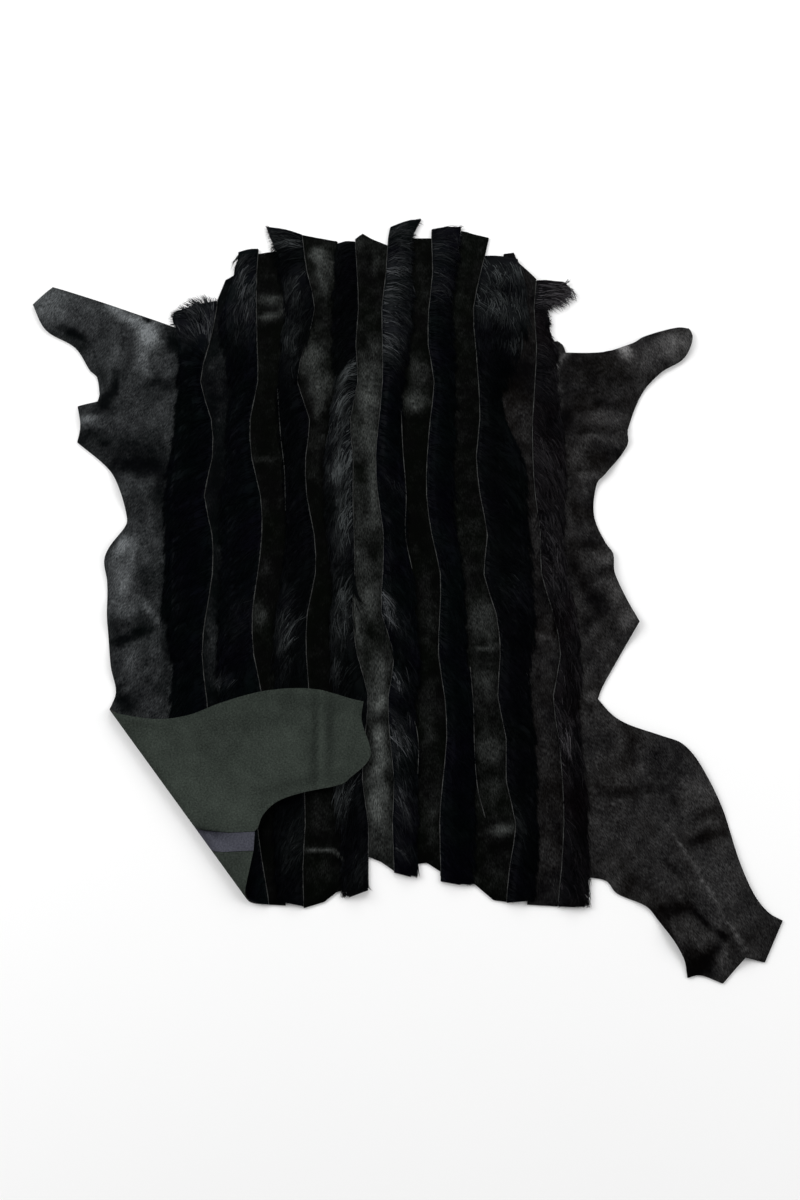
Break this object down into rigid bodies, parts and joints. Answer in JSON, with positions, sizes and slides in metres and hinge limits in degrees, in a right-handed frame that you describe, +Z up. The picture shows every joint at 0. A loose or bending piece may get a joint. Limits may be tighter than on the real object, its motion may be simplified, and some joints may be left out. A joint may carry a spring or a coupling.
{
  "type": "hair-on leather hide",
  "caption": "Flat hair-on leather hide pieced from long smooth strips and strips of long fur, with one hind leg folded back over it flesh side up; lies on a floor or table as a rug or throw.",
  "frame": {"origin": "middle of the hide's bounding box on the surface that it lies on", "axes": "+Z up off the surface, +Y from the tail end to the neck end, +X to the right seen from above"},
  "size_m": [0.892, 0.956, 0.0174],
  "materials": {
    "short_coat": "short glossy near-black hair on the upper side, grey-green suede on the flesh side",
    "long_fur": "long soft near-black hair with cool grey sheen"
  },
  "bodies": {
    "root": {"west_flank": "short_coat", "smooth_1": "short_coat", "smooth_2": "short_coat", "smooth_3": "short_coat", "smooth_4": "short_coat", "smooth_5": "short_coat", "smooth_6": "short_coat", "smooth_7": "short_coat", "east_flank": "short_coat", "fur_1": "long_fur", "fur_2": "long_fur", "fur_3": "long_fur", "fur_4": "long_fur", "fur_5": "long_fur", "fur_6": "long_fur", "fur_7": "long_fur", "fur_8": "long_fur"}
  },
  "joints": []
}
